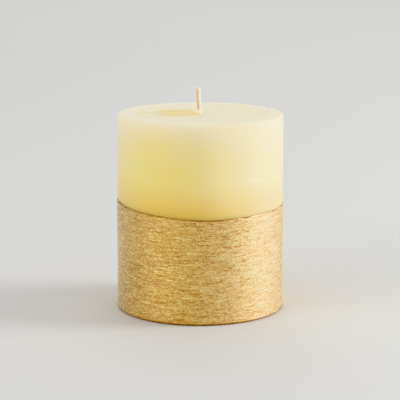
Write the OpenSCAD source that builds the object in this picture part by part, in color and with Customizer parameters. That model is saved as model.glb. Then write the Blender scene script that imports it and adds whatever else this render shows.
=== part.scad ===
// Two-tone pillar candle, standing on its base.
// The frame: +Z up, origin at the centre of the base, +X to the right of the front view.
// The wax is a hard shell cast open end up, a softer core, and a top-up pour beside the wick.

/* [Wax pillar] */
// Diameter of the bare wax
wax_d = 75.6; // [70:0.1:100]
// Height of the wax, without the wick
wax_h = 89.7; // [70:0.1:160]
// Radius of the rounded rim at the top
rim_r = 1.2; // [0.6:0.1:3]
// Size of the bevel round the foot
foot_bevel = 0.8; // [0.6:0.1:1.5]
// Wall thickness of the hard shell, the ring seen on the top face
shell_wall = 7.3; // [5:0.1:8]
// Thickness of the shell's floor
shell_floor = 9; // [8:0.1:14]
// Radius inside the bottom corner of the shell
shell_corner_r = 5; // [2:0.1:8]
// Depth of the core's top face below the rim
core_drop = 0.15; // [0.1:0.05:0.6]

/* [Top-up pour] */
// Diameter of the shrinkage well at its mouth
well_d = 26.4; // [22:0.1:27]
// Diameter of the well at its floor
well_floor_d = 18; // [12:0.1:20]
// Depth of the well
well_depth = 5; // [3:0.1:9]
// Distance that the well's edge reaches past the wick
well_past_wick = 2.6; // [2.6:0.1:4]
// Distance of the well's centre behind the wick
well_back = 2.2; // [-2:0.1:2.2]
// Depth of the pour's top face below the core's
pour_drop = 0.1; // [0.1:0.05:0.5]
// Radius of the small collar of wax that climbs the wick
meniscus_r = 0.9; // [0.4:0.1:1]
// Length of the pour that ran down the wick bore
pour_plug = 6; // [2:0.1:10]

/* [Gold coat] */
// Height of the coat's upper edge
coat_h = 48.8; // [20:0.1:65]
// Thickness of the coat
coat_t = 0.3; // [0.2:0.05:0.6]

/* [Wick] */
// Length of wick above the wax rim
wick_out = 12.2; // [6:0.1:16]
// Sideways lean of the wick's tip
wick_lean = 0.8; // [0:0.1:2]
// Turn of the wick's flat side away from the front
wick_turn = -35; // [-90:1:90]
// Half width of the plait, from middle to middle of its strands
plait_half_w = 0.68; // [0.68:0.01:0.8]
// Half depth of the plait, from middle to middle of its strands
plait_half_t = 0.4; // [0.4:0.01:0.5]
// Radius of one strand
strand_r = 0.3; // [0.2:0.01:0.3]
// Length of one full plait repeat
plait_pitch = 6; // [5:0.1:12]

/* [Wick bore and sustainer] */
// Diameter of the bore that the wicking pin leaves in the wax
bore_d = 3.4; // [3.2:0.1:4]
// Diameter of the stamped sustainer disc
tab_d = 20; // [14:0.1:26]
// Thickness of the sustainer's tinplate
tab_t = 0.25; // [0.2:0.01:0.3]
// Height of the sustainer's neck
neck_h = 6; // [4:0.1:7]
// Outer diameter of the neck
neck_d = 4; // [3.8:0.1:4.6]

/* [Base] */
// Diameter of the shallow recess in the base
recess_d = 62; // [50:0.1:64]
// Depth of the recess in the base
recess_depth = 0.8; // [0.6:0.05:1.5]
// Diameter of the blank paper label
label_d = 44; // [36:0.1:48]
// Thickness of the label
label_t = 0.12; // [0.08:0.01:0.2]

/* [Hidden] */

round_fn = 96;
eps = 0.5;                                // overrun of a cutting tool past a face

wax_r = wax_d / 2;
core_r = wax_r - shell_wall;
core_top = wax_h - core_drop;
pour_top = core_top - pour_drop;
bore_r = bore_d / 2;

well_x = well_past_wick - well_d / 2;
well_bottom = pour_top - well_depth;

coat_r = wax_r + coat_t;
coat_foot = 0.5;                          // height at which the coat stops on the foot bevel
coat_edge_taper = 0.3;                    // height over which the coat thins out at its edge

wick_bottom = recess_depth - tab_t;
wick_top = wax_h + wick_out;
sleeve_gap = 0.15;                        // room between the plait and the pour that set round it
wick_sleeve_r = plait_half_w + strand_r + sleeve_gap;
strand_sides = 8;
rings_per_pitch = 16;                     // close enough that the strands' facets never meet
ring_count = ceil((wick_top - wick_bottom) / plait_pitch * rings_per_pitch);

neck_r = neck_d / 2;
neck_wall = tab_t * 1.6;                  // the neck's drawn wall and its crimp
tab_rib_r = tab_d * 0.32;                 // the pressed ring that stiffens the disc
tab_rib_w = 1.2;
tab_rib_h = 0.12;

label_gap = 0.1;                          // room between the disc's rim and the label's drape
label_step = 1.6;                         // width over which the label drapes off the disc

// ---- outlines, turned about Z ----

// Half section of a cylinder with a rounded top edge and a bevelled foot
module pillar_outline(r, h, top_r, bevel) {
    square([r - top_r, h]);
    square([r - bevel, h - top_r]);
    translate([0, bevel])
        square([r, h - bevel - top_r]);
    translate([r - top_r, h - top_r])
        circle(r = top_r, $fn = round_fn);
    polygon([[0, 0], [r - bevel, 0], [r, bevel], [0, bevel]]);
}

// Half section of the space inside the shell, from its floor up to height top
module core_outline(top) {
    translate([0, shell_floor])
        square([core_r - shell_corner_r, top - shell_floor]);
    translate([0, shell_floor + shell_corner_r])
        square([core_r, top - shell_floor - shell_corner_r]);
    translate([core_r - shell_corner_r, shell_floor + shell_corner_r])
        circle(r = shell_corner_r, $fn = round_fn);
}

// ---- shared cutting tools ----

module wick_bore() {
    translate([0, 0, -eps])
        cylinder(r = bore_r, h = wick_top + eps, $fn = round_fn);
}

module well(top) {
    slope = (well_d - well_floor_d) / 2 / well_depth;
    mouth_r = well_d / 2 + slope * (top - pour_top);
    translate([well_x, well_back, well_bottom])
        cylinder(r1 = well_floor_d / 2, r2 = mouth_r, h = top - well_bottom, $fn = round_fn);
}

// ---- wax ----

module wax_shell() {
    color([0.93, 0.88, 0.70])
        difference() {
            rotate_extrude($fn = round_fn)
                pillar_outline(wax_r, wax_h, rim_r, foot_bevel);
            rotate_extrude($fn = round_fn)
                core_outline(wax_h + eps);
            wick_bore();
            translate([0, 0, -eps])
                cylinder(d = recess_d, h = recess_depth + eps, $fn = round_fn);
            cylinder(r = neck_r, h = recess_depth + neck_h, $fn = round_fn);
        }
}

module wax_core() {
    color([0.90, 0.88, 0.78])
        difference() {
            rotate_extrude($fn = round_fn)
                core_outline(core_top);
            wick_bore();
            well(core_top + eps);
        }
}

// Concave collar of wax round the foot of the wick
module meniscus() {
    rotate_extrude($fn = round_fn)
        translate([wick_sleeve_r, 0])
            difference() {
                square(meniscus_r);
                translate([meniscus_r, meniscus_r])
                    circle(r = meniscus_r, $fn = round_fn);
            }
}

module top_up_pour() {
    color([0.90, 0.82, 0.55])
        union() {
            difference() {
                union() {
                    well(pour_top);
                    translate([0, 0, well_bottom - pour_plug])
                        cylinder(r = bore_r, h = pour_plug + well_depth, $fn = round_fn);
                }
                translate([0, 0, well_bottom - pour_plug - eps])
                    cylinder(r = wick_sleeve_r, h = wick_top, $fn = round_fn);
            }
            translate([0, 0, pour_top])
                meniscus();
        }
}

// ---- gold coat: a thin skin on the lower part, tucked under the foot bevel ----

module gold_coat() {
    color([0.83, 0.66, 0.36])
        rotate_extrude($fn = round_fn)
            polygon([
                [wax_r - foot_bevel + coat_foot, coat_foot],
                [wax_r, foot_bevel],
                [wax_r, coat_h],
                [wax_r + coat_t / 3, coat_h],
                [coat_r, coat_h - coat_edge_taper],
                [coat_r, foot_bevel - coat_t / 3],
                [wax_r - foot_bevel + coat_foot + coat_t / 2, coat_foot - coat_t / 2]
            ]);
}

// ---- wick: a three-strand flat plait from the sustainer to the cut tip ----

// Sideways shift of the plait at height z: upright in the wax, then leaning over
function lean_at(z) = z < wax_h ? 0 : -wick_lean * sin(90 * (z - wax_h) / wick_out);

// Middle of a strand at height z, for a strand that starts at angle phase in the plait
function strand_at(phase, z) =
    let (
        turn = phase + 360 * z / plait_pitch,
        across = plait_half_w * sin(turn),
        deep = plait_half_t * sin(2 * turn)
    )
    [
        across * cos(wick_turn) - deep * sin(wick_turn) + lean_at(z),
        across * sin(wick_turn) + deep * cos(wick_turn),
        z
    ];

function ring_z(i) = wick_bottom + (wick_top - wick_bottom) * i / ring_count;

// Index of a strand's corner: ring i, side s
function corner(i, s) = i * strand_sides + s % strand_sides;

module wick_strand(phase) {
    points = [
        for (i = [0 : ring_count])
            for (s = [0 : strand_sides - 1])
                let (a = 360 * s / strand_sides)
                    strand_at(phase, ring_z(i)) + strand_r * [cos(a), sin(a), 0]
    ];
    walls = [
        for (i = [0 : ring_count - 1])
            for (s = [0 : strand_sides - 1])
                [corner(i, s), corner(i + 1, s), corner(i + 1, s + 1), corner(i, s + 1)]
    ];
    bottom = [[for (s = [0 : strand_sides - 1]) corner(0, s)]];
    tip = [[for (s = [strand_sides - 1 : -1 : 0]) corner(ring_count, s)]];
    color([0.94, 0.88, 0.76])
        polyhedron(points = points, faces = concat(bottom, walls, tip));
}

// ---- sustainer: a stamped disc and neck that hold the wick's lower end ----

module wick_sustainer() {
    color([0.74, 0.75, 0.77])
        translate([0, 0, wick_bottom])
            rotate_extrude($fn = round_fn)
                difference() {
                    union() {
                        translate([neck_r - neck_wall, 0])
                            square([tab_d / 2 - neck_r + neck_wall, tab_t]);
                        translate([neck_r - neck_wall, 0])
                            square([neck_wall, tab_t + neck_h]);
                    }
                    translate([tab_rib_r, 0])
                        square([tab_rib_w, tab_rib_h]);
                }
}

// ---- base label: blank paper that drapes over the sustainer's disc ----

module base_label() {
    disc_edge = tab_d / 2 + label_gap;
    flat_edge = disc_edge + label_step;
    color([0.95, 0.94, 0.91])
        rotate_extrude($fn = round_fn)
            polygon([
                [0, wick_bottom - label_t],
                [disc_edge, wick_bottom - label_t],
                [flat_edge, recess_depth - label_t],
                [label_d / 2, recess_depth - label_t],
                [label_d / 2, recess_depth],
                [flat_edge, recess_depth],
                [disc_edge, wick_bottom],
                [0, wick_bottom]
            ]);
}

wax_shell();
wax_core();
top_up_pour();
gold_coat();
wick_strand(0);  // wick_strand_1
wick_strand(120);  // wick_strand_2
wick_strand(240);  // wick_strand_3
wick_sustainer();
base_label();
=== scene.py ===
"""Visual model of the two-tone pillar candle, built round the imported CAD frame."""
import math

import bpy
import numpy as np
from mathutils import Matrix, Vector

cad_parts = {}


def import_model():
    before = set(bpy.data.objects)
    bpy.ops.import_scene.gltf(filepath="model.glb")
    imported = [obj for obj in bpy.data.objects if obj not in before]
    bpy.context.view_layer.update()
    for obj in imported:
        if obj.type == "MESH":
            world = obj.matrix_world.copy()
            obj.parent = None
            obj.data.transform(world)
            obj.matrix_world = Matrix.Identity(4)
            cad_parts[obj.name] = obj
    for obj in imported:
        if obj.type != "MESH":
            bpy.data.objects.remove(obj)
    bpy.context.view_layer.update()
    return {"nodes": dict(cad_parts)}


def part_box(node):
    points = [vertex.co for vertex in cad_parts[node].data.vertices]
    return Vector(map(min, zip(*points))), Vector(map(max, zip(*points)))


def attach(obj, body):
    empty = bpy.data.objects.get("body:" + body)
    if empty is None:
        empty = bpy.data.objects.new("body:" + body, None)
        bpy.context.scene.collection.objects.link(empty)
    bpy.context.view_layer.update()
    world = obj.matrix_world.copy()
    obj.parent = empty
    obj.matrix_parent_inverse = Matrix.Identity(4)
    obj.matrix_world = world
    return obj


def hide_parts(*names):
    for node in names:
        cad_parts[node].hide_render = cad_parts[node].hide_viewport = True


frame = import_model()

MM = 0.001
TURN = 2 * math.pi

# ---- sizes, read from the frame ----

SHELL_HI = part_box("wax_shell")[1]
CORE_LO, CORE_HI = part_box("wax_core")
POUR_LO, POUR_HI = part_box("top_up_pour")
COAT_LO, COAT_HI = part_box("gold_coat")
STRAND_LO, STRAND_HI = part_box("wick_strand_1")
LABEL_LO, LABEL_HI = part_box("base_label")

WAX_R, WAX_TOP = SHELL_HI.x, SHELL_HI.z
CORE_R, CORE_FLOOR, CORE_TOP = CORE_HI.x, CORE_LO.z, CORE_HI.z
COAT_R, COAT_FOOT, COAT_TOP = COAT_HI.x, COAT_LO.z, COAT_HI.z
WELL_R = (POUR_HI.y - POUR_LO.y) / 2
WELL_X, WELL_Y = (POUR_LO.x + POUR_HI.x) / 2, (POUR_LO.y + POUR_HI.y) / 2
WICK_TIP, WICK_END = STRAND_HI.z, STRAND_LO.z

# ---- sizes that the boxes don't give ----

RIM_R = 1.2 * MM            # rounded rim at the top of the shell
FOOT_BEVEL = 0.8 * MM       # bevel round the shell's foot
CORNER_R = 5 * MM           # inside corner at the shell's floor
BORE_R = 1.7 * MM           # wick bore
RECESS_R = 31 * MM          # recess in the base
RECESS_DEPTH = LABEL_HI.z
WELL_DEPTH = 5 * MM
WELL_FLOOR_R = 9 * MM
POUR_TOP = CORE_TOP - 0.1 * MM
RIBBON_HALF_T = 0.5 * MM    # half the wick's depth, where it leaves the wax
MENISCUS_W = 0.5 * MM       # how far the collar of wax spreads round the wick
MENISCUS_H = 2.0 * MM       # how high it climbs
STEP_ROUND = 0.06 * MM      # rounding of the shell's inner top edge
UNDER_COAT = 2.4 * MM       # how far below the coat's edge the open wax is modelled finely
SOFT_REACH = 4 * MM         # width over which light that scatters is held back at a joint
AMBER_BAND = 15 * MM        # height of the amber band above the coat, painted shade

PLAIT_HALF_W = 0.62 * MM
PLAIT_HALF_T = 0.2 * MM
PLAIT_PITCH = 6 * MM
PLAIT_TURN = math.radians(-35)
STRAND_HALF_W = 0.44 * MM
STRAND_HALF_T = 0.4 * MM
WICK_FOOT = 0.3 * MM        # how far left of the middle the wick leaves the wax
WICK_LEAN = 0.8 * MM        # how far left of the middle its tip is
TIP_CUTS = (0.3 * MM, 0.55 * MM, 0.45 * MM)     # how far below the CAD's tip each strand ends

EDGE_SAG = 1.0 * MM         # fall of the coat's upper edge at the front
EDGE_RISE = 1.9 * MM        # its rise at the far left
EDGE_REACH = 14 * MM        # depth to which the strokes follow the edge
PAINTED_HIGHLIGHT_PLACES = (             # bearing and width in degrees, share of paler paint: painted highlights where the lamps' light falls
    (52, 36, 0.52), (-66, 28, 0.1), (160, 40, 0.3),
)

WALL_COLS = 400             # points round the pillar
CORE_COLS = 320
POUR_COLS = 400

FRONT = math.radians(-90)   # bearing of the side that faces the viewer
SCRATCHES = (               # bearing from the front in degrees, height, length, strength
    (43, 64.0 * MM, 11 * MM, 1.0), (46, 62.4 * MM, 9 * MM, 0.5), (54, 65.6 * MM, 9 * MM, 0.35),
    (50, 68.2 * MM, 7 * MM, 0.3), (57, 71.5 * MM, 10 * MM, 0.35), (38, 70.4 * MM, 6 * MM, 0.2),
)
SCRATCH_TILT = 0.2          # fall of a scratch along its length, to the right
SCRATCH_W = 0.28 * MM
SCRATCH_RISE = 0.04 * MM    # height of the wax that a scratch throws up
SPECK = (-25.7, 82.9 * MM)  # bearing and height of a small speck in the side
SPECK_R = 0.5 * MM
PIT = (31 * MM, 8 * MM)     # place of a small pit in the top
PIT_R = 1.1 * MM
PIT_DEPTH = 0.3 * MM

CAMERA_PLACE = (0, -0.7254, 0.1931)
CAMERA_DIP = 11.20          # degrees below level
CAMERA_LENS = 144.8         # mm, on a sensor 36 mm wide


# ---- outlines: lists of (radius, height) points ----

def line(r0, z0, r1, z1, count):
    """Count points from the first place towards the second, which is left out."""
    return [(r0 + (r1 - r0) * i / count, z0 + (z1 - z0) * i / count) for i in range(count)]


def arc(mid_r, mid_z, radius, start, end, count):
    """Count points along an arc from start towards end, in degrees, the end left out."""
    angles = [math.radians(start + (end - start) * i / count) for i in range(count)]
    return [(mid_r + radius * math.cos(a), mid_z + radius * math.sin(a)) for a in angles]


# ---- noise on grids of points ----

def smooth(t):
    return t * t * (3 - 2 * t)


def blend_lattice(lattice, u, v):
    """Smooth interpolation in a lattice of random values, which repeats along u."""
    i, j = np.floor(v).astype(int), np.floor(u).astype(int)
    fu, fv = smooth(u - j), smooth(v - i)
    width = lattice.shape[1]
    a, b = lattice[i, j % width], lattice[i, (j + 1) % width]
    c, d = lattice[i + 1, j % width], lattice[i + 1, (j + 1) % width]
    return (a * (1 - fu) + b * fu) * (1 - fv) + (c * (1 - fu) + d * fu) * fv


def ring_noise(theta, height, cells, cell_h, seed):
    """Noise from -1 to 1 on a cylinder, with so many cells round it and cell_h tall."""
    u = theta / TURN * cells
    v = (height - height.min()) / cell_h
    lattice = np.random.default_rng(seed).uniform(-1, 1, (int(v.max()) + 2, cells))
    return blend_lattice(lattice, u, v)


def flat_noise(x, y, cell, seed):
    """Noise from -1 to 1 over a flat face, with cells of one size."""
    span = 0.1
    u, v = (x + span) / cell, (y + span) / cell
    cells = int(2 * span / cell) + 2
    lattice = np.random.default_rng(seed).uniform(-1, 1, (cells, cells))
    return blend_lattice(lattice, u, v)


def dashes(cols, heights, radius, count, length, width, depth, seed):
    """Raised and sunken dashes that run round a cylinder, as offsets in metres.
    heights are evenly spaced; length, width and depth are (least, most)."""
    rng = np.random.default_rng(seed)
    relief = np.zeros((len(heights), cols))
    step = TURN * radius / cols
    for _ in range(count):
        col, mid = rng.integers(cols), rng.uniform(heights[0], heights[-1])
        half, thin = rng.uniform(*length) / 2, rng.uniform(*width) / 2
        rise = rng.uniform(*depth) * rng.choice((-1, 1))
        tilt = rng.normal(0, 0.03)
        reach = int(1.5 * half / step) + 1
        along = np.arange(-reach, reach + 1)
        s = along * step
        near = np.flatnonzero(np.abs(heights - mid) < 3 * thin + abs(tilt) * s[-1])
        across = (heights[near, None] - mid - tilt * s[None, :]) / thin
        dash = rise * np.exp(-(s / half) ** 4)[None, :] * np.exp(-across ** 2)
        relief[np.ix_(near, (col + along) % cols)] += dash
    return relief


# ---- meshes ----

def angles(cols):
    return np.arange(cols) * TURN / cols


def round_axis(radii, heights, theta, x=0.0, y=0.0):
    """Points at these radii and heights round a vertical axis."""
    return np.stack([x + radii * np.cos(theta), y + radii * np.sin(theta), heights], -1)


def skin(name, rows, looped=False, **values):
    """A closed mesh through rows of points, each of which runs once round its axis.
    looped joins the last row to the first; otherwise both ends are closed with a fan.
    values are numbers per point that the materials read."""
    count, cols = rows.shape[:2]
    i = np.arange(count if looped else count - 1)[:, None]
    j = np.arange(cols)[None, :]
    lower, upper = i * cols, (i + 1) % count * cols
    right = (j + 1) % cols
    faces = np.stack([lower + j, lower + right, upper + right, upper + j], -1)
    faces = faces.reshape(-1, 4).tolist()
    points = rows.reshape(-1, 3)
    if not looped:
        first, last = len(points), len(points) + 1
        points = np.vstack([points, rows[0].mean(0), rows[-1].mean(0)])
        top = (count - 1) * cols
        faces += [(first, (k + 1) % cols, k) for k in range(cols)]
        faces += [(last, top + k, top + (k + 1) % cols) for k in range(cols)]
    mesh = bpy.data.meshes.new(name)
    mesh.from_pydata(points.tolist(), [], faces)
    for key, grid in values.items():
        flat = np.zeros(len(points), np.float32)
        flat[:count * cols] = np.broadcast_to(grid, (count, cols)).reshape(-1)
        mesh.attributes.new(key, "FLOAT", "POINT").data.foreach_set("value", flat)
    mesh.polygons.foreach_set("use_smooth", [True] * len(mesh.polygons))
    mesh.update()
    piece = bpy.data.objects.new(name, mesh)
    bpy.context.scene.collection.objects.link(piece)
    return piece


def finish_piece(piece, material, slot, *nodes):
    piece.data.materials.append(material)
    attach(piece, "root")
    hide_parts(*nodes)
    return piece


# ---- material nodes ----

def tone(red, green, blue):
    """A display colour, 0 to 255, as the linear colour that shaders take."""
    def linear(c):
        c /= 255
        return c / 12.92 if c <= 0.04045 else ((c + 0.055) / 1.055) ** 2.4
    return (linear(red), linear(green), linear(blue), 1.0)


class Paint:
    """A material under construction: short calls that add a node and return its output."""

    def __init__(self, name):
        self.material = bpy.data.materials.new(name)
        self.material.use_nodes = True
        self.tree = self.material.node_tree
        self.shader = self.tree.nodes["Principled BSDF"]

    def add(self, kind, settings=(), **inputs):
        node = self.tree.nodes.new(kind)
        for key, value in dict(settings).items():
            setattr(node, key, value)
        for key, value in inputs.items():
            self.put(node.inputs[key.replace("_", " ")], value)
        return node

    def put(self, socket, value):
        if isinstance(value, bpy.types.NodeSocket):
            self.tree.links.new(value, socket)
        else:
            socket.default_value = value

    def set(self, **inputs):
        for key, value in inputs.items():
            self.put(self.shader.inputs[key.replace("_", " ")], value)

    def place(self, x=1.0, y=1.0, z=1.0):
        """Object coordinates in millimetres, stretched along each axis."""
        where = self.add("ShaderNodeTexCoord").outputs["Object"]
        scaled = self.add("ShaderNodeVectorMath", {"operation": "MULTIPLY"})
        self.put(scaled.inputs[0], where)
        self.put(scaled.inputs[1], (x / MM, y / MM, z / MM))
        return scaled.outputs[0]

    def noise(self, where, scale=1.0, detail=3.0, rough=0.5):
        node = self.add("ShaderNodeTexNoise", Vector=where, Scale=scale, Detail=detail)
        self.put(node.inputs["Roughness"], rough)
        return node.outputs["Fac"]

    def value(self, name):
        return self.add("ShaderNodeAttribute", {"attribute_name": name}).outputs["Fac"]

    def span(self, number, low, high, out_low=0.0, out_high=1.0):
        """A number between low and high as a share from out_low to out_high."""
        node = self.add("ShaderNodeMapRange", Value=number)
        for key, limit in (("From Min", low), ("From Max", high),
                           ("To Min", out_low), ("To Max", out_high)):
            self.put(node.inputs[key], limit)
        return node.outputs["Result"]

    def maths(self, operation, a, b):
        node = self.add("ShaderNodeMath", {"operation": operation})
        self.put(node.inputs[0], a)
        self.put(node.inputs[1], b)
        return node.outputs[0]

    def mix(self, share, a, b):
        node = self.add("ShaderNodeMix", {"data_type": "RGBA"})
        self.put(node.inputs["Factor"], share)
        self.put(node.inputs[6], a)
        self.put(node.inputs[7], b)
        return node.outputs[2]

    def bump(self, height, strength, depth):
        node = self.add("ShaderNodeBump", Height=height, Strength=strength, Distance=depth)
        return node.outputs["Normal"]


# ---- materials ----

def wax(name, pale, gloss=0.45):
    """Translucent wax between a pale tone and a deep yellow, with cloudy mottling and fine
    horizontal marks. Its mesh says where it is deep, amber, white, greyed and soft; on the side,
    deep is painted glow and amber is painted shade."""
    p = Paint(name)
    cloud = p.noise(p.place(0.05, 0.05, 0.09), 1.0, 4.0, 0.55)
    # On the side, depth is a painted glow: deeper yellow for light scattered through the wax, paler
    # on the lit right.
    depth = p.maths("ADD", p.value("depth"), p.span(cloud, 0.3, 0.7, -0.06, 0.06))
    colour = p.mix(depth, pale, tone(251, 228, 112))
    # On the side, amber is painted shade above the coat; on the top-up patch it is a random amber
    # tone.
    colour = p.mix(p.value("amber"), colour, tone(240, 196, 90))
    colour = p.mix(p.value("frost"), colour, tone(253, 251, 246))
    p.set(Base_Color=p.mix(p.value("stain"), colour, tone(212, 206, 168)))
    marks = p.noise(p.place(0.12, 0.12, 1.6), 1.0, 5.0, 0.6)
    p.set(Roughness=p.span(marks, 0.3, 0.7, gloss - 0.06, gloss + 0.1))
    p.shader.subsurface_method = "BURLEY"
    p.set(Subsurface_Weight=1.0, Subsurface_Radius=(0.006, 0.004, 0.002))
    p.set(Subsurface_Scale=p.value("soft"), IOR=1.44, Specular_IOR_Level=0.4)
    grain = p.noise(p.place(1.2, 1.2, 3.0), 1.0, 4.0, 0.6)
    p.set(Normal=p.bump(p.maths("ADD", marks, grain), 0.2, 0.05 * MM))
    return p.material


def gold_paint():
    """Brass-flake lacquer over brushed wax: browner in the grooves and paler on the ridges,
    partly painted shade and highlight; paler still in painted highlights where the lamps fall;
    with painted glints, under a clear gloss that follows the strokes less closely and is
    missing at the coat's edge, whose brown line is partly painted shade."""
    p = Paint("gold_paint")
    streak = p.noise(p.place(0.14, 0.14, 2.8), 1.0, 3.0, 0.6)
    flake = p.noise(p.place(0.5, 0.5, 3.0), 1.0, 3.0, 0.7)
    grit = p.noise(p.place(2.4, 2.4, 3.2), 1.0, 1.0, 0.6)
    lift = p.maths("ADD", p.value("relief"), p.span(streak, 0.35, 0.65, -0.5, 0.5))
    lift = p.maths("ADD", lift, p.span(flake, 0.35, 0.65, -0.6, 0.6))
    lift = p.maths("ADD", lift, p.span(grit, 0.35, 0.65, -0.95, 0.95))
    # Browner where the strokes sink, paler where they stand up: partly painted shade and painted
    # highlight from the relief, partly random tone from the noise.
    groove_shade_and_tone = p.mix(p.span(lift, -1.2, 0.1), tone(190, 130, 46), tone(230, 184, 80))
    colour = p.mix(p.span(lift, 0.2, 1.4), groove_shade_and_tone, tone(253, 230, 146))
    # Paler paint where the lamps' highlights fall, more on the ridges: painted highlight.
    thin = p.maths("MULTIPLY", p.value("thin"), p.span(lift, -1.3, 1.3, 0.1, 1.9))
    colour = p.mix(thin, colour, tone(255, 244, 205))
    # Painted glints: small pale spots all over.
    painted_glints = p.noise(p.place(0.8, 0.8, 3.0), 1.0, 2.0, 0.5)
    colour = p.mix(p.span(painted_glints, 0.62, 0.7, 0.0, 0.7), colour, tone(255, 240, 190))
    pits = p.noise(p.place(0.4, 0.4, 2.4), 1.0, 3.0, 0.6)
    colour = p.mix(p.span(pits, 0.61, 0.69, 0.0, 0.6), colour, tone(144, 84, 32))
    # Brown along the coat's upper edge, a dark joint partly painted shade, and a painted contact
    # shadow along its foot.
    edge = p.maths("MULTIPLY", p.value("edge"), p.span(flake, 0.35, 0.55, 0.3, 1.0))
    p.set(Base_Color=p.mix(edge, colour, tone(166, 100, 38)))
    p.set(Metallic=0.85, Roughness=p.span(lift, -1.0, 1.0, 0.56, 0.42))
    gloss = p.span(lift, -1.2, 0.3, 0.55, 1.0)
    covered = p.span(p.value("edge"), 0.0, 0.5, 1.0, 0.0)
    p.set(Coat_Weight=p.maths("MULTIPLY", gloss, covered))
    p.set(Coat_Roughness=0.34, Coat_IOR=1.75)
    height = p.maths("ADD", p.maths("MULTIPLY", streak, 0.5), flake)
    height = p.maths("ADD", height, p.maths("MULTIPLY", grit, 0.5))
    p.set(Normal=p.bump(height, 0.7, 0.16 * MM), Coat_Normal=p.bump(height, 0.15, 0.16 * MM))
    return p.material


def cotton():
    """Waxed cotton yarn: tan where the wax has soaked in, with white painted where light falls: a
    painted highlight on the lit edge and the cut tip.
    """
    p = Paint("wick_cotton")
    fibre = p.noise(p.place(9.0, 9.0, 2.0), 1.0, 4.0, 0.6)
    body = p.mix(p.span(fibre, 0.3, 0.7), tone(236, 212, 178), tone(248, 232, 206))
    p.set(Base_Color=p.mix(p.value("white"), body, tone(254, 252, 246)))
    p.set(Roughness=p.span(fibre, 0.3, 0.7, 0.5, 0.7))
    p.set(Sheen_Weight=0.4, Sheen_Roughness=0.5)
    p.set(Normal=p.bump(fibre, 0.4, 0.03 * MM))
    return p.material


def tinplate():
    """Thin tinned sheet, with the faint lines of its rolling."""
    p = Paint("tinplate")
    rolled = p.noise(p.place(0.4, 4.0, 4.0), 1.0, 4.0, 0.6)
    p.set(Base_Color=p.mix(rolled, tone(176, 178, 182), tone(212, 214, 216)))
    p.set(Metallic=1.0, Roughness=p.span(rolled, 0.3, 0.7, 0.28, 0.45))
    p.set(Normal=p.bump(rolled, 0.3, 0.02 * MM))
    return p.material


def label_paper():
    """Matt uncoated paper with a fine pulp."""
    p = Paint("label_paper")
    pulp = p.noise(p.place(1.5, 1.5, 1.5), 1.0, 6.0, 0.65)
    p.set(Base_Color=p.mix(pulp, tone(232, 228, 218), tone(246, 244, 238)))
    p.set(Roughness=p.span(pulp, 0.3, 0.7, 0.75, 0.92))
    p.set(Normal=p.bump(pulp, 0.4, 0.03 * MM))
    return p.material


# ---- wax pieces ----

def shell_outline():
    """The shell's half section as a loop, from the foot up the outside, then back down
    the inside. Also returns how many of its rows are the hidden side, the open side and the top."""
    side_top = WAX_TOP - RIM_R
    hidden = COAT_TOP - UNDER_COAT
    hidden_side = line(WAX_R, FOOT_BEVEL, WAX_R, hidden, 18)
    open_side = line(WAX_R, hidden, WAX_R, side_top, 136)
    top = arc(WAX_R - RIM_R, side_top, RIM_R, 0, 90, 8)
    top += line(WAX_R - RIM_R, WAX_TOP, CORE_R + STEP_ROUND, WAX_TOP, 10)
    top += arc(CORE_R + STEP_ROUND, WAX_TOP - STEP_ROUND, STEP_ROUND, 90, 180, 3)
    inside = line(CORE_R, WAX_TOP - STEP_ROUND, CORE_R, CORE_FLOOR + CORNER_R, 10)
    inside += arc(CORE_R - CORNER_R, CORE_FLOOR + CORNER_R, CORNER_R, 0, -90, 6)
    inside += line(CORE_R - CORNER_R, CORE_FLOOR, BORE_R, CORE_FLOOR, 4)
    inside += line(BORE_R, CORE_FLOOR, BORE_R, RECESS_DEPTH, 3)
    base = line(BORE_R, RECESS_DEPTH, RECESS_R, RECESS_DEPTH, 6)
    base += line(RECESS_R, RECESS_DEPTH, RECESS_R, 0, 2)
    base += line(RECESS_R, 0, WAX_R - FOOT_BEVEL, 0, 3)
    base += line(WAX_R - FOOT_BEVEL, 0, WAX_R, FOOT_BEVEL, 3)
    outline = np.array(hidden_side + open_side + top + inside + base)
    return outline, len(hidden_side), len(open_side), len(top)


def around(bearing, theta):
    """Signed angle from a bearing, counted in degrees from the front."""
    return (theta - FRONT - math.radians(bearing) + math.pi) % TURN - math.pi


def spot(distance, radius):
    return np.exp(-(distance / radius) ** 2)


def near(bearing, width, theta):
    """Share from 1 at a bearing to 0 well away from it, both in degrees."""
    return spot(around(bearing, theta), math.radians(width))


def softness(joint):
    """How far light scatters at this distance from a joint between two kinds of wax."""
    return np.clip(joint / SOFT_REACH, 0.02, 1)


def coat_edge(theta):
    """Height of the coat's upper edge: it sags at the front and rises on the left."""
    return COAT_TOP - EDGE_SAG * near(8, 34, theta) + EDGE_RISE * near(-75, 27, theta)


def side_painted_glow(theta, z):
    """How deep a yellow is painted on the side's wax: a painted glow of light scattered through the
    wax.
    The colour comes in quickly below the rim left of the front, and slowly and faintly on the lit
    right side."""
    low = np.clip((WAX_TOP - z) / (WAX_TOP - COAT_TOP), 0, 1)
    left = near(-27, 62, theta)
    most = 0.17 + 0.64 * left + 0.3 * near(165, 60, theta)
    rim = 0.15 * near(-35, 80, theta) * np.exp(-low / 0.08)
    return rim + most * (1 - np.exp(-low / (0.42 - 0.27 * left)))


def side_amber(theta, z):
    """The amber band just above the coat: painted shade where the coat holds back light through the
    wax, strongest a little left of the front.
    """
    above = np.clip((z - coat_edge(theta)) / AMBER_BAND, 0, 1)
    return (1 - above) ** 1.2 * (0.35 + 0.65 * near(-18, 45, theta))


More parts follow.
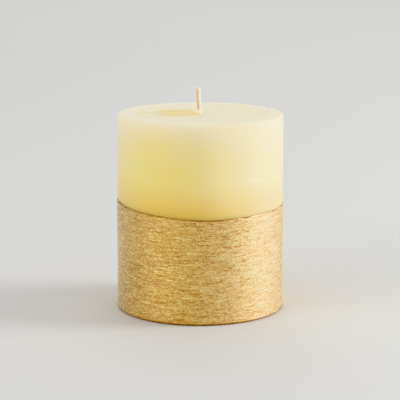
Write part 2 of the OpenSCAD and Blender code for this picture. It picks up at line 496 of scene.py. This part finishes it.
def wax_shell_piece(material):
    outline, hidden, open_rows, top_rows = shell_outline()
    theta = np.broadcast_to(angles(WALL_COLS), (len(outline), WALL_COLS))
    r = np.repeat(outline[:, :1], WALL_COLS, 1)
    z = np.repeat(outline[:, 1:], WALL_COLS, 1)
    frost, stain = np.zeros_like(r), np.zeros_like(r)
    side = slice(hidden, hidden + open_rows)
    relief = dashes(WALL_COLS, outline[side, 1], WAX_R, 420, (3 * MM, 12 * MM),
                    (0.4 * MM, 0.9 * MM), (0.005 * MM, 0.025 * MM), seed=11)
    relief += 0.06 * MM * ring_noise(theta[side], z[side], 14, 14 * MM, seed=12)
    for bearing, height, length, strength in SCRATCHES:
        along = WAX_R * around(bearing, theta[side])
        across = z[side] - height + SCRATCH_TILT * along
        share = strength * np.exp(-(2 * along / length) ** 4) * spot(across, SCRATCH_W)
        relief += SCRATCH_RISE * share
        frost[side] += 0.7 * share
    bearing, height = SPECK
    away = np.hypot(WAX_R * around(bearing, theta[side]), z[side] - height)
    stain[side] += 0.4 * spot(away, SPECK_R)
    relief *= np.clip((outline[side, 1:] - COAT_TOP + UNDER_COAT) / (2 * MM), 0, 1)
    r[side] += relief
    top = slice(hidden + open_rows, hidden + open_rows + top_rows)
    r[top] += relief[-1]
    x, y = r * np.cos(theta), r * np.sin(theta)
    z[top] += 0.08 * MM * flat_noise(x[top], y[top], 9 * MM, seed=13)
    pit = spot(np.hypot(x[top] - PIT[0], y[top] - PIT[1]), PIT_R)
    z[top] -= PIT_DEPTH * pit
    # The pit is greyed in colour as well as sunk.
    stain[top] += 0.6 * pit
    soft = softness(np.hypot(r - CORE_R, z - WAX_TOP))
    # On the side, depth is painted glow and amber is painted shade above the coat.
    piece = skin("wax_shell_skin", round_axis(r, z, theta), looped=True, frost=frost,
                 stain=stain, soft=soft, depth=side_painted_glow(theta, z), amber=side_amber(theta, z))
    return finish_piece(piece, material, "shell_wax", "wax_shell")


def well_outline(phi):
    """Radius of the well's uneven mouth at angle phi about its own centre. It bulges
    past the wick, where it covers the bore."""
    wobble = 0.05 * np.sin(2 * phi + 0.6) + 0.04 * np.sin(3 * phi + 2.1)
    wobble += 0.02 * np.sin(7 * phi) + 0.012 * np.sin(13 * phi)
    past_wick = math.atan2(-WELL_Y, -WELL_X)
    bulge = 0.045 * spot((phi - past_wick + math.pi) % TURN - math.pi, 0.4)
    return WELL_R * (0.91 + wobble + bulge)


def wax_core_piece(material):
    side = line(CORE_R, CORE_TOP - 0.2 * MM, CORE_R, CORE_FLOOR + CORNER_R, 8)[::-1]
    corner = arc(CORE_R - CORNER_R, CORE_FLOOR + CORNER_R, CORNER_R, -90, 0, 6)
    top = line(CORE_R - 0.02 * MM, CORE_TOP, BORE_R, CORE_TOP, 100)
    bore = line(BORE_R, CORE_TOP - WELL_DEPTH, BORE_R, CORE_FLOOR, 4)
    floor = line(BORE_R, CORE_FLOOR, CORE_R - CORNER_R, CORE_FLOOR, 4)
    outline = np.array(corner + side + top + bore + floor)
    theta = np.broadcast_to(angles(CORE_COLS), (len(outline), CORE_COLS))
    r = np.repeat(outline[:, :1], CORE_COLS, 1)
    z = np.repeat(outline[:, 1:], CORE_COLS, 1)
    rows = slice(len(corner) + len(side), len(corner) + len(side) + len(top))
    x, y = r * np.cos(theta), r * np.sin(theta)
    inside = np.clip((CORE_R - r[rows]) / (3 * MM), 0, 1)
    z[rows] += 0.06 * MM * flat_noise(x[rows], y[rows], 7 * MM, seed=21) * inside
    z[rows] += (WAX_TOP - CORE_TOP - 0.03 * MM) * (1 - inside)
    mouth = well_outline(np.arctan2(y - WELL_Y, x - WELL_X))
    out = np.hypot(x - WELL_X, y - WELL_Y) - mouth
    z[rows] -= WELL_DEPTH * np.clip(-out[rows] / (mouth[rows] - WELL_FLOOR_R), 0, 1)
    frost = 0.25 * spot(out - 0.8 * MM, 1.2 * MM) * (1 + flat_noise(x, y, 4 * MM, seed=22))
    wisp = spot(x - WELL_X + 14 * MM, 4 * MM) * spot(y - WELL_Y, 3 * MM)
    depth = 0.12 * spot(out - 4 * MM, 4 * MM) + 0.04 + 0.3 * wisp
    soft = softness(np.minimum(np.abs(out), CORE_R - r))
    piece = skin("wax_core_fill", round_axis(r, z, theta), looped=True, frost=frost,
                 depth=depth, soft=soft)
    return finish_piece(piece, material, "core_wax", "wax_core")


def top_up_pour_piece(material):
    phi = angles(POUR_COLS)[None, :]
    mouth = well_outline(phi) + 0.05 * MM
    floor_z = POUR_TOP - WELL_DEPTH
    under = [WELL_FLOOR_R * s for s in (0.02, 0.5, 1.0)]
    rows_r = [np.full_like(mouth, s) for s in under] + [mouth]
    rows_z = [np.full_like(mouth, floor_z)] * len(under) + [np.full_like(mouth, POUR_TOP)]
    for share in np.linspace(0.99, 0.01, 100):
        rows_r.append(mouth * share)
        rows_z.append(np.full_like(mouth, POUR_TOP))
    r, z = np.vstack(rows_r), np.vstack(rows_z)
    phi = np.broadcast_to(phi, r.shape)
    points = round_axis(r, z, phi, WELL_X, WELL_Y)
    x, y = points[..., 0], points[..., 1]
    top = slice(len(under) + 1, None)
    points[top, :, 2] += 0.05 * MM * flat_noise(x[top], y[top], 4 * MM, seed=31)
    aside = x + WICK_FOOT
    across = np.abs(aside * math.cos(PLAIT_TURN) + y * math.sin(PLAIT_TURN))
    through = y * math.cos(PLAIT_TURN) - aside * math.sin(PLAIT_TURN)
    wick = np.hypot(np.clip(across - PLAIT_HALF_W, 0, None), through) - RIBBON_HALF_T
    climb = np.clip(1 - wick / MENISCUS_W, 0, 1)
    points[top, :, 2] += MENISCUS_H * climb[top] ** 2.2
    left = np.clip((WELL_X - x) / WELL_R, 0, 1)
    faded = spot(mouth - r, (3 + 5 * left) * MM) * (0.5 + flat_noise(x, 2 * y, 5 * MM, seed=32))
    frost = np.clip(0.5 * smooth(np.clip(faded, 0, 1)) + 1.2 * climb, 0, 1)
    soft = softness(mouth - r)
    # Random amber tone in the patch.
    amber = 0.2 * np.clip(flat_noise(x, 2 * y, 3 * MM, seed=33), 0, 1)
    piece = skin("top_up_patch", points, frost=frost, soft=soft, amber=amber)
    return finish_piece(piece, material, "pour_wax", "top_up_pour")


# ---- gold coat ----

def coat_relief(theta, z, heights):
    """Brush strokes in the coat, as offsets in metres: many fine ones, a fine grain and
    some longer, coarser ones."""
    relief = dashes(WALL_COLS, heights, COAT_R, 3000, (1.2 * MM, 7 * MM),
                    (0.3 * MM, 0.5 * MM), (0.01 * MM, 0.045 * MM), seed=41)
    relief += 0.03 * MM * ring_noise(theta, z, 280, 0.6 * MM, seed=42)
    relief += dashes(WALL_COLS, heights, COAT_R, 260, (3 * MM, 9 * MM),
                     (0.35 * MM, 0.55 * MM), (0.03 * MM, 0.07 * MM), seed=47)
    return relief


def coat_inside():
    """Radii and heights of the coat's inner face, from its upper edge down to its lip."""
    lip_r = WAX_R - FOOT_BEVEL + 0.65 * MM
    inner = [(WAX_R - 0.02 * MM, COAT_TOP - 0.1 * MM), (WAX_R - 0.02 * MM, FOOT_BEVEL),
             (lip_r - 0.15 * MM, COAT_FOOT + 0.15 * MM), (lip_r, COAT_FOOT)]
    inner_r = np.repeat(np.array(inner)[:, :1], WALL_COLS, 1)
    inner_z = np.repeat(np.array(inner)[:, 1:], WALL_COLS, 1)
    return inner_r, inner_z


def coat_edge_line_and_shade(theta, z, below, above, inner_rows):
    """Share of brown at the coat's upper edge, broken into dots and stronger at the front: a dark
    joint, partly painted shade. Along its foot the brown is a painted contact shadow.
    """
    upper = np.clip(1.2 - below / (0.7 * MM), 0, 1)
    dots = ring_noise(theta[:1], z[:1], 110, 1, seed=46)
    upper *= 0.5 + 0.5 * near(-5, 30, theta) + 0.7 * dots
    foot_shadow = np.clip(1 - above / (0.5 * MM), 0, 1)
    inside = np.repeat(upper[-1:], inner_rows, 0)
    return np.clip(np.vstack([upper + foot_shadow, inside]), 0, 1)


def gold_coat_piece(material):
    heights = np.linspace(FOOT_BEVEL - 0.1 * MM, COAT_TOP, 240)
    theta = np.broadcast_to(angles(WALL_COLS), (len(heights), WALL_COLS))
    z = np.repeat(heights[:, None], WALL_COLS, 1)
    relief = coat_relief(theta, z, heights)
    lump = 0.05 * MM * ring_noise(theta, z, 16, 12 * MM, seed=43)
    below, above = COAT_TOP - z, z - heights[0]
    thick = (COAT_R - WAX_R) * np.clip(0.3 + below / (0.5 * MM), 0.3, 1)
    ends = np.clip(below / (0.6 * MM), 0.2, 1) * np.clip(above / (0.6 * MM), 0, 1)
    r = WAX_R + thick + lump + relief * ends
    wave = 0.16 * MM * ring_noise(theta[:1], z[:1], 26, 1, seed=44)
    wave = wave + 0.12 * MM * ring_noise(theta[:1], z[:1], 90, 1, seed=45)
    sway = coat_edge(theta[:1]) - COAT_TOP
    z += wave * np.clip(1 - below / (3 * MM), 0, 1)
    z += sway * np.clip(1 - below / EDGE_REACH, 0, 1)
    inner_r, inner_z = coat_inside()
    inner_z[0] += wave[0] + sway[0]
    # brown edge line, partly painted shade, and painted foot shadow
    edge_line_and_shade = coat_edge_line_and_shade(theta, z, below, above, len(inner_r))
    tint = np.vstack([relief / (0.06 * MM), np.zeros_like(inner_r)])
    r, z = np.vstack([r, inner_r]), np.vstack([z, inner_z])
    theta = np.broadcast_to(angles(WALL_COLS), r.shape)
    # Painted highlights: paler paint where the lamps' light falls.
    thin = sum(share * near(bearing, width, theta) for bearing, width, share in PAINTED_HIGHLIGHT_PLACES)
    piece = skin("gold_coat_skin", round_axis(r, z, theta), looped=True,
                 relief=tint, edge=edge_line_and_shade, thin=thin)
    return finish_piece(piece, material, "gold_paint", "gold_coat")


# ---- wick ----

def strand_middle(z, phase):
    """Middle of one plaited strand at heights z, across and through the plait. It runs
    along each edge for a while and crosses over in between."""
    turn = phase + TURN * z / PLAIT_PITCH
    across = PLAIT_HALF_W * np.tanh(3 * np.sin(turn)) / math.tanh(3)
    return across, PLAIT_HALF_T * np.sin(2 * turn)


def wick_strand_piece(number, material):
    """One strand: a flattened bundle of twisted yarns, flared at the cut tip, with painted
    highlight white on the tip and along the plait's right edge, which faces the key light."""
    tip_z = WICK_TIP - TIP_CUTS[number - 1]
    hidden = np.arange(WICK_END, WAX_TOP - 3 * MM, 0.75 * MM)
    shown = np.linspace(WAX_TOP - 3 * MM, tip_z, 120)
    z = np.concatenate([hidden, shown])[:, None]
    across, through = strand_middle(z, TURN * (number - 1) / 3)
    phi = angles(30)[None, :]
    near_tip = np.clip((z - tip_z + 2.5 * MM) / (2.5 * MM), 0, 1) ** 2
    swell = (1 + 0.07 * np.cos(5 * phi + TURN * z / (2.6 * MM))) * (1 + 0.25 * near_tip)
    across = across * (1 + 0.15 * near_tip) + STRAND_HALF_W * swell * np.cos(phi)
    through = through + STRAND_HALF_T * swell * np.sin(phi)
    inside = smooth(np.clip((z - WAX_TOP) / (5 * MM) + 1, 0, 1))
    out = np.clip((z - WAX_TOP) / (WICK_TIP - WAX_TOP), 0, 1)
    x = across * math.cos(PLAIT_TURN) - through * math.sin(PLAIT_TURN)
    y = across * math.sin(PLAIT_TURN) + through * math.cos(PLAIT_TURN)
    x = x - WICK_FOOT * inside - (WICK_LEAN - WICK_FOOT) * np.sin(out * math.pi / 2)
    rows = np.stack([x, y, np.broadcast_to(z, x.shape)], -1)
    # White painted along the plait's right edge, which faces the key light, and on the cut tip:
    # painted highlight.
    lit_edge = np.clip((across / PLAIT_HALF_W - 0.7) / 0.5, 0, 1)
    white = np.clip(lit_edge + np.clip((z - tip_z + 0.7 * MM) / (0.3 * MM), 0, 1), 0, 1)
    piece = skin(f"wick_strand_{number}_yarns", rows, white=white)
    return finish_piece(piece, material, "wick_cotton", f"wick_strand_{number}")


# ---- base ----

def base_label_piece(material):
    lower, upper = LABEL_LO.z, LABEL_HI.z
    thick = 0.12 * MM
    disc_r, flat_r, edge_r = 10.1 * MM, 11.7 * MM, LABEL_HI.x
    under = line(0.2 * MM, lower, disc_r, lower, 12) + line(disc_r, lower, flat_r, upper - thick, 8)
    under += line(flat_r, upper - thick, edge_r, upper - thick, 12) + [(edge_r, upper - thick)]
    outline = np.array(under + [(r, z + thick) for r, z in reversed(under)])
    theta = np.broadcast_to(angles(160), (len(outline), 160))
    r = np.repeat(outline[:, :1], 160, 1)
    z = np.repeat(outline[:, 1:], 160, 1)
    x, y = r * np.cos(theta), r * np.sin(theta)
    z = z + 0.03 * MM * flat_noise(x, y, 5 * MM, seed=61) * np.clip(r / edge_r, 0, 1)
    piece = skin("base_label_paper", round_axis(r, z, theta))
    return finish_piece(piece, material, "label_paper", "base_label")


# ---- studio ----

def camera():
    data = bpy.data.cameras.new("camera")
    data.lens, data.sensor_width = CAMERA_LENS, 36
    cam = bpy.data.objects.new("camera", data)
    cam.location = CAMERA_PLACE
    cam.rotation_euler = (math.radians(90 - CAMERA_DIP), 0, 0)
    bpy.context.scene.collection.objects.link(cam)
    bpy.context.scene.camera = cam


def soft_light(name, place, target, size, power, colour=(1, 1, 1)):
    data = bpy.data.lights.new(name, "AREA")
    data.shape, data.size, data.energy, data.color = "DISK", size, power, colour
    lamp = bpy.data.objects.new(name, data)
    lamp.location = place
    lamp.rotation_euler = (Vector(target) - Vector(place)).to_track_quat("-Z", "Y").to_euler()
    bpy.context.scene.collection.objects.link(lamp)


def floor():
    half = 4.0
    mesh = bpy.data.meshes.new("floor")
    mesh.from_pydata([(-half, -half, 0), (half, -half, 0), (half, half, 0), (-half, half, 0)],
                     [], [(0, 1, 2, 3)])
    piece = bpy.data.objects.new("floor", mesh)
    bpy.context.scene.collection.objects.link(piece)
    p = Paint("floor")
    p.set(Base_Color=(0.80, 0.80, 0.79, 1), Roughness=0.9)
    mesh.materials.append(p.material)


def world():
    scene_world = bpy.data.worlds.new("studio")
    scene_world.use_nodes = True
    back = scene_world.node_tree.nodes["Background"]
    back.inputs["Color"].default_value = (1.0, 1.0, 0.995, 1)
    back.inputs["Strength"].default_value = 0.6
    bpy.context.scene.world = scene_world


def studio():
    camera()
    world()
    floor()
    middle = (0, 0, 0.05)
    soft_light("key", (1.9, 0, 0.56), middle, 1.0, 28.0, (1.0, 0.985, 0.96))
    soft_light("back", (0, 2.0, 1.4), middle, 2.0, 6.6)
    soft_light("fill", (-1.0, -0.75, 0.55), middle, 1.0, 4.3)
    scene = bpy.context.scene
    scene.view_settings.view_transform = "Khronos PBR Neutral"


def build():
    wax_shell_piece(wax("shell_wax", tone(252, 245, 222)))
    wax_core_piece(wax("core_wax", tone(250, 242, 213)))
    top_up_pour_piece(wax("pour_wax", tone(248, 227, 142), gloss=0.35))
    gold_coat_piece(gold_paint())
    yarn = cotton()
    for number in (1, 2, 3):
        wick_strand_piece(number, yarn)
    base_label_piece(label_paper())
    frame["nodes"]["wick_sustainer"].data.materials.clear()
    frame["nodes"]["wick_sustainer"].data.materials.append(tinplate())


build()
studio()
